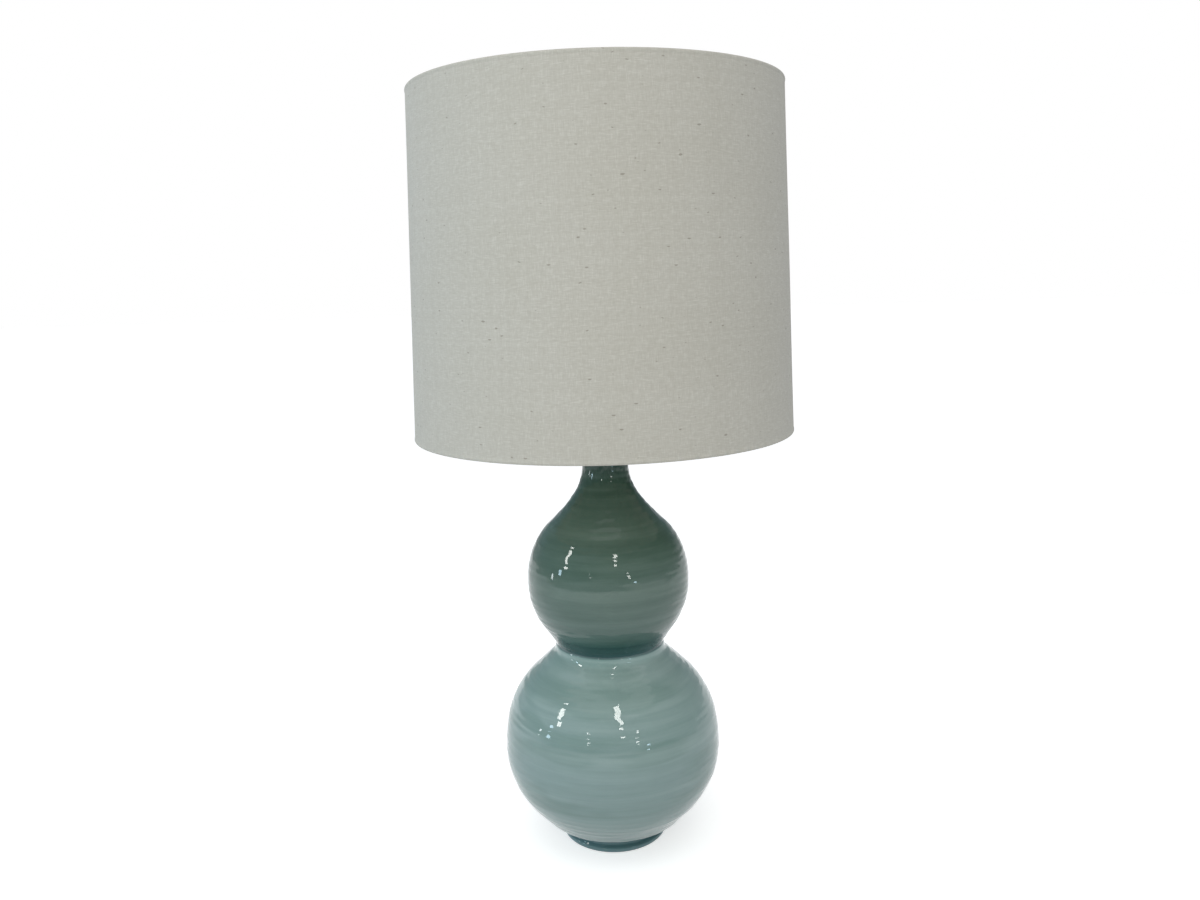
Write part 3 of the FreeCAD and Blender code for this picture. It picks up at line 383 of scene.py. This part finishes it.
def bulged(start, end, bulge, rows):
    # Points of an arc between two ends that stands off its chord, on the right of the way
    chord = Vector((end[0] - start[0], end[1] - start[1]))
    radius = (chord.length ** 2 / 4 + bulge ** 2) / (2 * abs(bulge))
    half = math.asin(chord.length / 2 / radius)
    side = Vector((chord.y, -chord.x)).normalized() * (1 if bulge > 0 else -1)
    middle = Vector(start) + chord / 2 - side * (radius * math.cos(half))
    along = chord.normalized()
    points = []
    for row in range(rows + 1):
        angle = half * (2 * row / rows - 1)
        points.append(tuple(middle + side * radius * math.cos(angle) + along * radius * math.sin(angle)))
    return points


def joinedLines(*lines):
    # One line without doubled ends
    points = []
    for line in lines:
        for point in line:
            if not points or (Vector(point) - Vector(points[-1])).length > body["weld"]:
                points.append(point)
    return points


def bodyOutline():
    b = body
    step = b["step"]

    def belly(height):
        run = Outline(b["lowerRadius"], height, -1, step).arcs(b["lowerBelly"])
        return run.straightTo(b["bellyEnd"]).arc(*b["turnUnder"]).straightTo(b["footRadius"] + b["footFlare"])

    def shoulder(height):
        run = Outline(b["lowerRadius"], height, 1, step).arcs(b["lowerShoulder"])
        run.straightTo(b["waistRadius"] + b["waistFillet"] * (1 - math.cos(run.lean)))
        return run.arc(-b["waistFillet"], math.degrees(run.lean))

    def collar(height):
        return Outline(b["upperRadius"], height, -1, step).arcs(b["upperBelly"]).straightTo(
            b["waistRadius"] + b["collarStep"])

    def neck(height):
        run = Outline(b["upperRadius"], height, 1, step).arcs(b["upperShoulder"])
        lean = math.radians(b["neckLean"])
        hollow = (run.points[-1][0] - b["neckRadius"]) / (math.cos(lean) - math.cos(run.lean))
        return run.arc(-hollow, math.degrees(run.lean) - b["neckLean"]).straight(b["neckLength"])

    footBottom = b["feltThickness"]
    footTop = footBottom + b["footHeight"]
    bandTop = footBottom + b["bandHeight"]
    lowerMiddle = footTop - belly(0).points[-1][1]
    waist = shoulder(lowerMiddle).points[-1][1] + b["waistWall"]
    creaseTop = waist + b["creaseHeight"]
    upperMiddle = creaseTop + b["collarStrip"] - collar(0).points[-1][1]
    under, side = belly(lowerMiddle), shoulder(lowerMiddle)
    strip, top = collar(upperMiddle), neck(upperMiddle)

    foot = joinedLines(bulged((b["footRadius"], footBottom), (b["footRadius"], bandTop), b["bandBulge"], 8),
                       bulged((b["footRadius"], bandTop), under.points[-1], -b["coveDepth"], 12))
    crease = [(b["waistRadius"], waist), (b["waistRadius"] - b["creaseDepth"], waist + b["creaseHeight"] / 2),
              (b["waistRadius"] + b["collarBulge"], creaseTop)]
    outside = joinedLines(foot, under.points[::-1], side.points, crease, strip.points[::-1], top.points)

    lipOut, lipHeight = outside[-1]
    innerNeck = top.inset(b["wall"])
    lip = [(lipOut - b["lip"] * (1 - math.cos(turn)), lipHeight + b["lip"] * math.sin(turn))
           for turn in map(math.radians, (22, 45, 68, 90))]
    lip += [(innerNeck[-1][0] + b["lip"], lipHeight + b["lip"]), (innerNeck[-1][0], lipHeight)]
    innerFoot = b["footRadius"] - b["footWall"]
    recess = footTop - b["footFloor"]
    innerThroat = (b["waistRadius"] - b["wall"] - b["creaseDepth"], waist)
    inside = (lip + innerNeck[::-b["coarse"]] + strip.inset(b["wall"])[::b["coarse"]] + [innerThroat]
              + side.inset(b["wall"])[:-b["throatRows"]][::-b["coarse"]] + under.inset(b["wall"])[::b["coarse"]])
    floor = inside[-1][1]
    inside += [(b["baseHole"], floor), (b["baseHole"], recess), (innerFoot, recess), (innerFoot, footBottom)]
    return outside, inside


def handMarks(place, weight):
    # How far the potter's ribs, waves and grooves stand off the smooth wall, in millimetres
    b = body
    angle = math.atan2(place.y, place.x)
    height = place.z / mm
    way = Vector((math.cos(angle), math.sin(angle), 0))

    def uneven(name, sideShift=0, upShift=0):
        turns = b[name + "Turns"]
        return noise.noise(Vector((way.x * turns + sideShift, way.y * turns, height / b[name + "Height"] + upShift)))

    # The shifts keep the three from following one another
    broad, slow, fine = uneven("wave"), uneven("sway", sideShift=9), uneven("chatter", upShift=30)
    spiral = math.sin(2 * math.pi * (height + slow * b["ribWander"]) / b["ribPitch"] + angle)
    ribs = spiral * b["ribDepth"] * (0.6 + slow)
    groove = b["grooveDepth"] * math.exp(-((height + slow - b["grooveHeight"]) / b["grooveWidth"]) ** 2)
    return weight * (ribs + broad * b["waveDepth"] + fine * b["chatterDepth"] - groove)


def spunShell(name, lines, segments):
    # The first line takes hand marks and the others don't
    mesh = bmesh.new()
    worked = mesh.verts.layers.float.new("worked")
    points = joinedLines(*lines)
    marked = len(lines[0])
    corners = []
    for index, (radius, height) in enumerate(points):
        corner = mesh.verts.new((radius * mm, 0, height * mm))
        fromEnd = min(index, marked - 1 - index)
        corner[worked] = max(0.0, min(1.0, fromEnd / body["fadeRows"])) if index < marked else 0.0
        corners.append(corner)
    loop = [mesh.edges.new(pair) for pair in zip(corners, corners[1:] + corners[:1])]
    bmesh.ops.spin(mesh, geom=corners + loop, cent=(0, 0, 0), axis=(0, 0, 1), angle=2 * math.pi,
                   steps=segments, use_merge=True)
    bmesh.ops.remove_doubles(mesh, verts=mesh.verts, dist=body["weld"] * mm)
    bmesh.ops.recalc_face_normals(mesh, faces=mesh.faces)
    mesh.normal_update()
    for corner in mesh.verts:
        if corner[worked] > 0:
            corner.co += corner.normal * handMarks(corner.co, corner[worked]) * mm
    return finished(name, mesh)


def finished(name, mesh, smooth=True):
    data = bpy.data.meshes.new(name)
    for face in mesh.faces:
        face.smooth = smooth
    mesh.to_mesh(data)
    mesh.free()
    piece = bpy.data.objects.new(name, data)
    bpy.context.scene.collection.objects.link(piece)
    return piece


def dress(piece, material, bodyName, slotName, *nodes):
    piece.data.materials.clear()
    piece.data.materials.append(material)
    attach(piece, bodyName)
    if nodes:
        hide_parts(*nodes)


def applied(piece):
    # The piece with its modifiers made part of the mesh
    graph = bpy.context.evaluated_depsgraph_get()
    data = bpy.data.meshes.new_from_object(piece.evaluated_get(graph))
    old = piece.data
    piece.modifiers.clear()
    piece.data = data
    bpy.data.meshes.remove(old)


cordHole = {"radius": 5.0, "cover": 2.0, "from": 20.0, "reach": 70.0}


def cutCordHole(piece):
    b = body
    height = b["feltThickness"] + b["footHeight"] - b["footFloor"] - cordHole["cover"] - cordHole["radius"]
    mesh = bmesh.new()
    bmesh.ops.create_cone(mesh, cap_ends=True, segments=48, radius1=cordHole["radius"] * mm,
                          radius2=cordHole["radius"] * mm, depth=cordHole["reach"] * mm)
    bmesh.ops.rotate(mesh, verts=mesh.verts, cent=(0, 0, 0), matrix=Matrix.Rotation(math.pi / 2, 3, "X"))
    bmesh.ops.translate(mesh, verts=mesh.verts, vec=(0, (cordHole["reach"] / 2 + cordHole["from"]) * mm, height * mm))
    drill = finished("cordDrill", mesh)
    cut = piece.modifiers.new("cordHole", "BOOLEAN")
    cut.object = drill
    cut.operation = "DIFFERENCE"
    cut.solver = "EXACT"
    applied(piece)
    bpy.data.objects.remove(drill)


print("ceramic body")
outside, inside = bodyOutline()
ceramic = spunShell("glazedBody", [outside, inside], body["segments"])
cutCordHole(ceramic)
ceramicNodes = [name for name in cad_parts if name.startswith("ceramic_")]
dress(ceramic, celadonGlaze(), "base", "glaze", *ceramicNodes)


felt = {
    "margin": 2.6, "thickness": 1.0, "segments": 160,
    "rim": 1.2,
    "ragged": 0.35, "raggedBand": 0.6, "raggedScale": 400,
}


def feltDisc():
    mesh = bmesh.new()
    radius = body["footRadius"] - felt["margin"]
    bmesh.ops.create_circle(mesh, cap_ends=True, segments=felt["segments"], radius=radius * mm)
    bmesh.ops.inset_region(mesh, faces=mesh.faces[:], thickness=felt["rim"] * mm)
    for corner in mesh.verts:
        if corner.co.length > (radius - felt["raggedBand"]) * mm:
            corner.co *= 1 - felt["ragged"] / radius * abs(noise.noise(corner.co * felt["raggedScale"]))
    raised = bmesh.ops.extrude_face_region(mesh, geom=mesh.faces[:])
    top = [item for item in raised["geom"] if isinstance(item, bmesh.types.BMVert)]
    bmesh.ops.translate(mesh, verts=top, vec=(0, 0, felt["thickness"] * mm))
    bmesh.ops.recalc_face_normals(mesh, faces=mesh.faces)
    return finished("feltDisc", mesh, smooth=False)


print("felt")
feltUnder = feltDisc()
dress(feltUnder, feltWool(), "base", "felt", "felt_pad")


shade = {
    "bottomRadius": 190.5, "topRadius": 180.4,
    "cloth": 0.5, "pressed": 0.1, "wire": 1.6, "glue": 0.02, "liner": 0.6,
    "overlap": 11.0,        # where the cloth's ends lap at the back
    "lap": 0.55,            # how far the upper end stands off the lower one
    "lapRamp": 5.0,
    "turns": 240, "rows": 40,
    "edgeRows": [0.6, 1.1, 1.6, 2.1, 2.7, 3.4, 4.4],    # of points, from each end
    "stand": 0.45, "standTo": 2.3,      # how far the rolled edges stand out, and where that ends
    "ripple": 0.16,         # slack that the glued cloth keeps between its rings
    "rippleRound": 4, "rippleUp": 9,
    "heldTo": 9.0, "freeFrom": 39.0,    # along the cloth from its ends
}


def shadeHeights():
    low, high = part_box("shade_fabric")
    return low[2] / mm, high[2] / mm


def clothLine():
    # The cloth's middle line: round the bottom wire, up the outside and round the top wire
    s = shade
    bottom, top = shadeHeights()
    half = s["cloth"] / 2
    roll = s["wire"] + s["glue"] + half
    ringInset = s["wire"] + s["glue"] + s["liner"] + s["cloth"]
    low = (s["bottomRadius"] - ringInset, bottom + roll + half)
    high = (s["topRadius"] - ringInset, top - roll - half)

    def wrap(ring, sense, start, end):
        turns = range(start, end, -15 if start > end else 15)
        return [(ring[0] + roll * math.cos(turn), ring[1] + sense * roll * math.sin(turn))
                for turn in map(math.radians, turns)]

    line = wrap(low, -1, 255, 89)
    line += [(point[0] + s["liner"] + s["stand"], point[1]) for point in wrap(low, -1, 75, -1)]
    foot = line[-1]
    head = (high[0] + s["liner"] + s["stand"] + roll, high[1])
    tall = math.dist(foot, head)
    nearEnd = [way / tall for way in s["edgeRows"]]
    shares = nearEnd + [nearEnd[-1] + (1 - 2 * nearEnd[-1]) * row / s["rows"] for row in range(1, s["rows"])]
    shares += [1 - share for share in nearEnd[::-1]]
    for share in shares:
        near = min(1.0, min(share, 1 - share) * tall / s["standTo"])
        sunk = s["stand"] * near * near * (3 - 2 * near)
        line.append((foot[0] + (head[0] - foot[0]) * share - sunk, foot[1] + (head[1] - foot[1]) * share))
    line += [(point[0] + s["liner"] + s["stand"], point[1]) for point in wrap(high, 1, 0, 89)]
    line += wrap(high, 1, 90, 256)
    return line


def linenShade():
    s = shade
    mesh = bmesh.new()
    uv = mesh.loops.layers.uv.new("cloth")
    line = clothLine()
    corners = [mesh.verts.new((0, radius * mm, height * mm)) for radius, height in line]
    edges = [mesh.edges.new(pair) for pair in zip(corners, corners[1:])]
    whole = 2 * math.pi + s["overlap"] / s["bottomRadius"]
    bmesh.ops.spin(mesh, geom=corners + edges, cent=(0, 0, 0), axis=(0, 0, 1), angle=whole, steps=s["turns"])
    lengths = [0.0]
    for before, after in zip(line, line[1:]):
        lengths.append(lengths[-1] + math.dist(before, after) * mm)
    mesh.verts.ensure_lookup_table()
    along = {}
    turned = {}
    for corner in mesh.verts:
        step = corner.index // len(line)
        turned[corner.index] = whole * step / s["turns"]
        spot = (math.hypot(corner.co.x, corner.co.y) / mm, corner.co.z / mm)
        nearest = min(range(len(line)), key=lambda index: math.dist(line[index], spot))
        along[corner.index] = lengths[nearest]
    middle = (s["bottomRadius"] + s["topRadius"]) / 2 * mm
    for face in mesh.faces:
        for loop in face.loops:
            loop[uv].uv = (turned[loop.vert.index] * middle, along[loop.vert.index])
    lapStart = whole - (s["overlap"] + s["lapRamp"]) / s["bottomRadius"]
    for corner in mesh.verts:
        outward = Vector((corner.co.x, corner.co.y, 0)).normalized()
        lapped = (turned[corner.index] - lapStart) * s["bottomRadius"] / s["lapRamp"]
        lapped = max(0.0, min(1.0, lapped))
        fromEnd = min(along[corner.index], lengths[-1] - along[corner.index]) / mm
        free = max(0.0, min(1.0, (fromEnd - s["heldTo"]) / (s["freeFrom"] - s["heldTo"])))
        spot = Vector((outward.x * s["rippleRound"], outward.y * s["rippleRound"], corner.co.z * s["rippleUp"]))
        slack = noise.noise(spot) * s["ripple"] * free
        corner.co += outward * (lapped * s["lap"] * (0.3 + 0.7 * free) + slack) * mm
    bmesh.ops.recalc_face_normals(mesh, faces=mesh.faces)
    piece = finished("linenShade", mesh)
    thick = piece.modifiers.new("cloth", "SOLIDIFY")
    thick.thickness = (s["cloth"] - s["pressed"]) * mm
    thick.offset = 0
    return piece, lengths[-1]


print("linen shade")
linenCover, clothHeight = linenShade()
dress(linenCover, linenCloth(), "shade", "linen", "shade_fabric")


print("fittings")
satinBrass = brushedMetal("satinBrass", (206, 172, 110), (168, 132, 78), 0.30)
brightBrass = brushedMetal("brightBrass", (216, 182, 112), (178, 142, 82), 0.20, grain=(40, 40, 400))
plainBrass = brushedMetal("plainBrass", (200, 162, 96), (150, 116, 66), 0.34)
zincSteel = brushedMetal("zincSteel", (196, 198, 200), (148, 150, 152), 0.36)
keySteel = brushedMetal("keySteel", (190, 190, 190), (150, 150, 150), 0.28)
capMetal = brushedMetal("drawnAluminium", (214, 214, 212), (170, 170, 168), 0.27)
tungsten = brushedMetal("tungstenWire", (120, 120, 124), (82, 82, 86), 0.40)
lacquer = mouldedStuff("ringLacquer", (232, 230, 222), (214, 210, 200), 0.40, grain=260.0)
rubber = mouldedStuff("blackRubber", (38, 38, 38), (26, 26, 27), 0.68, grain=700.0)
paper = mouldedStuff("pressedPaper", (142, 116, 84), (112, 88, 62), 0.85, grain=900.0, depth=0.12)
phenolic = mouldedStuff("blackPhenolic", (34, 31, 29), (22, 20, 19), 0.38)
fusedGlass = mouldedStuff("fusedBlackGlass", (20, 20, 22), (12, 12, 14), 0.14)
bulbGlass = clearGlass()
liner = shadeLiner()

finishes = {
    "base_washer": zincSteel, "base_lock_washer": zincSteel, "base_nut": zincSteel, "lamp_pipe": zincSteel,
    "harp_saddle": zincSteel, "socket_set_screw": zincSteel,
    "cord_grommet": rubber, "neck_gasket": rubber,
    "vase_cap": satinBrass, "neck_spacer": satinBrass, "finial": satinBrass,
    "harp_loop": satinBrass, "harp_ferrules": satinBrass, "harp_swivel_stud": satinBrass,
    "harp_sleeve_left": satinBrass, "harp_sleeve_right": satinBrass,
    "spider_hub": satinBrass, "spider_arms": satinBrass,
    "socket_cap": brightBrass, "socket_shell": brightBrass, "socket_screw_shell": brightBrass,
    "socket_centre_contact": plainBrass, "socket_terminal_screws": plainBrass, "bulb_contact": plainBrass,
    "socket_insulator": paper, "socket_insert": phenolic, "switch_knob": phenolic, "switch_stem": keySteel,
    "bulb_glass": bulbGlass, "bulb_stem": bulbGlass, "bulb_screw_cap": capMetal,
    "bulb_insulator": fusedGlass, "bulb_filament": tungsten,
    "shade_liner": liner, "shade_top_ring": lacquer, "shade_bottom_ring": lacquer,
}
for nodeName, material in finishes.items():
    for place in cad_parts[nodeName].material_slots:
        place.material = material


studio = {
    "floorSize": 30.0,
    "floorColour": (0.86, 0.86, 0.86, 1.0),
    "ambient": 0.57,
    "ambientColour": (0.94, 0.97, 1.0, 1.0),
    "lift": 0.55,           # what the floor adds for the camera, to reach white away from the shadow
    # name, height that it aims at, place, width, height, turn in degrees, watts, colour,
    # and True where only reflections see it or False where they don't
    "lamps": [("overheadSoft", 0.3, (-0.2, -0.6, 2.4), 2.0, 1.8, 0, 11.0, (1.0, 0.97, 0.92), False),
              ("frontFill", 0.4, (-0.3, -2.6, 1.4), 1.8, 1.4, 0, 20.0, (1.0, 0.96, 0.87), False),
              ("leftWindow", 0.4, (-2.5, -0.5, 0.9), 2.4, 2.0, 0, 13.0, (0.55, 0.80, 1.0), False),
              ("tallStrip", 0.3, (0.225, -1.28, 1.56), 0.15, 1.00, 6, 8.6, (1.0, 1.0, 0.96), True),
              ("bentStrip", 0.3, (-1.49, -0.60, 1.26), 0.16, 0.80, 20, 8.0, (1.0, 1.0, 0.97), True),
              ("smallRight", 0.3, (0.88, -1.72, 0.80), 0.10, 0.12, 0, 0.7, (1.0, 1.0, 0.97), True),
              ("smallLeft", 0.3, (-0.86, -1.74, 0.84), 0.10, 0.12, 0, 0.7, (1.0, 1.0, 0.97), True),
              ("paneRight", 0.3, (1.20, -1.62, 0.30), 0.16, 0.11, 0, 1.0, (0.62, 0.84, 1.0), True),
              ("paneLeft", 0.3, (-1.84, -0.66, 0.56), 0.14, 0.22, 0, 1.6, (0.62, 0.84, 1.0), True),
              ("farLeft", 0.3, (-1.98, -0.24, 0.34), 0.10, 0.16, 0, 0.8, (0.9, 0.96, 1.0), True)],
    # The walls round the lamp, which only reflections see: darkest at so many degrees right of the front,
    # pale opposite, and as light as the floor at their foot
    "walls": {"radius": 3.4, "foot": 0.02, "height": 4.4, "steps": 72, "floorGlow": 1.0, "darkest": 58,
              "paleTo": -0.45, "darkFrom": 0.55,
              "dark": (0.07, 0.07, 0.06, 1.0), "pale": (0.32, 0.46, 0.55, 1.0)},
}


def studioFloor():
    mesh = bmesh.new()
    bmesh.ops.create_grid(mesh, x_segments=1, y_segments=1, size=studio["floorSize"] / 2)
    floor = finished("studioFloor", mesh, smooth=False)
    finish = Finish("floorPaper")
    finish.set(Base_Color=studio["floorColour"], Roughness=0.9)
    rays = finish.add("LightPath").outputs
    seen = finish.maths("MAXIMUM", rays["Is Camera Ray"], rays["Is Glossy Ray"])
    seen = finish.maths("MAXIMUM", seen, rays["Is Transmission Ray"])
    finish.set(Emission_Color=(1.0, 1.0, 1.0, 1.0), Emission_Strength=finish.maths("MULTIPLY", seen, studio["lift"]))
    floor.data.materials.append(finish.material)


def studioWalls():
    walls = studio["walls"]
    mesh = bmesh.new()
    foot = mesh.verts.new((0, walls["radius"], walls["foot"]))
    head = mesh.verts.new(foot.co + Vector((0, 0, walls["height"])))
    edge = mesh.edges.new((foot, head))
    bmesh.ops.spin(mesh, geom=[foot, head, edge], cent=(0, 0, 0), axis=(0, 0, 1),
                   angle=2 * math.pi, steps=walls["steps"], use_merge=True)
    card = finished("darkRoom", mesh)
    finish = Finish("darkRoomPaint")
    place = finish.add("SeparateXYZ", {"Vector": finish.objectPlace()}).outputs
    darkest = math.radians(walls["darkest"])
    rightward = finish.maths("MULTIPLY", place["X"], math.sin(darkest) / walls["radius"])
    forward = finish.maths("MULTIPLY", place["Y"], -math.cos(darkest) / walls["radius"])
    dark = finish.span(finish.maths("ADD", rightward, forward), walls["paleTo"], walls["darkFrom"])
    paint = finish.blend(dark, walls["pale"], walls["dark"])
    paint = finish.blend(finish.span(place["Z"], 0, walls["floorGlow"]), studio["floorColour"], paint)
    finish.set(Base_Color=paint, Roughness=0.9)
    card.data.materials.append(finish.material)
    for ray in ("camera", "diffuse", "transmission", "volume_scatter", "shadow"):
        setattr(card, "visible_" + ray, False)


def studioWorld():
    world = bpy.data.worlds.new("studio")
    bpy.context.scene.world = world
    world.use_nodes = True
    tree = world.node_tree
    tree.nodes.clear()
    rays = tree.nodes.new("ShaderNodeLightPath")
    anyOf = rays.outputs["Is Camera Ray"]
    for name in ("Is Glossy Ray", "Is Transmission Ray"):
        larger = tree.nodes.new("ShaderNodeMath")
        larger.operation = "MAXIMUM"
        tree.links.new(anyOf, larger.inputs[0])
        tree.links.new(rays.outputs[name], larger.inputs[1])
        anyOf = larger.outputs[0]
    ambient = tree.nodes.new("ShaderNodeBackground")
    ambient.inputs["Color"].default_value = studio["ambientColour"]
    ambient.inputs["Strength"].default_value = studio["ambient"]
    white = tree.nodes.new("ShaderNodeBackground")
    white.inputs["Color"].default_value = (1, 1, 1, 1)
    white.inputs["Strength"].default_value = 1.0
    mixed = tree.nodes.new("ShaderNodeMixShader")
    tree.links.new(anyOf, mixed.inputs["Fac"])
    tree.links.new(ambient.outputs[0], mixed.inputs[1])
    tree.links.new(white.outputs[0], mixed.inputs[2])
    output = tree.nodes.new("ShaderNodeOutputWorld")
    tree.links.new(mixed.outputs[0], output.inputs["Surface"])


def studioLamps():
    for name, aim, place, width, height, turn, power, colour, mirrored in studio["lamps"]:
        data = bpy.data.lights.new(name, "AREA")
        data.shape = "RECTANGLE"
        data.size = width
        data.size_y = height
        data.energy = power
        data.color = colour
        lamp = bpy.data.objects.new(name, data)
        lamp.location = place
        facing = (Vector((0, 0, aim)) - Vector(place)).to_track_quat("-Z", "Y").to_matrix()
        lamp.rotation_euler = (facing @ Matrix.Rotation(math.radians(turn), 3, "Z")).to_euler()
        lamp.visible_glossy = mirrored
        lamp.visible_diffuse = not mirrored
        bpy.context.scene.collection.objects.link(lamp)


camera = {
    "eye": (0.0, -1.0065, 0.59716),
    "down": 10.03, "left": 0.275, "roll": 1.647,     # degrees
    "lens": 29.87, "sensor": 36.0,
}


def studioCamera():
    data = bpy.data.cameras.new("photoCamera")
    data.lens = camera["lens"]
    data.sensor_width = camera["sensor"]
    data.sensor_fit = "HORIZONTAL"
    data.clip_start = 0.02
    view = bpy.data.objects.new("photoCamera", data)
    view.matrix_world = (Matrix.Translation(camera["eye"])
                         @ Matrix.Rotation(math.radians(camera["left"]), 4, "Z")
                         @ Matrix.Rotation(math.radians(90 - camera["down"]), 4, "X")
                         @ Matrix.Rotation(math.radians(-camera["roll"]), 4, "Z"))
    bpy.context.scene.collection.objects.link(view)
    bpy.context.scene.camera = view


print("studio")
studioFloor()
studioWalls()
studioWorld()
studioLamps()
studioCamera()
bpy.context.scene.view_settings.view_transform = "Standard"

bpy.context.view_layer.update()
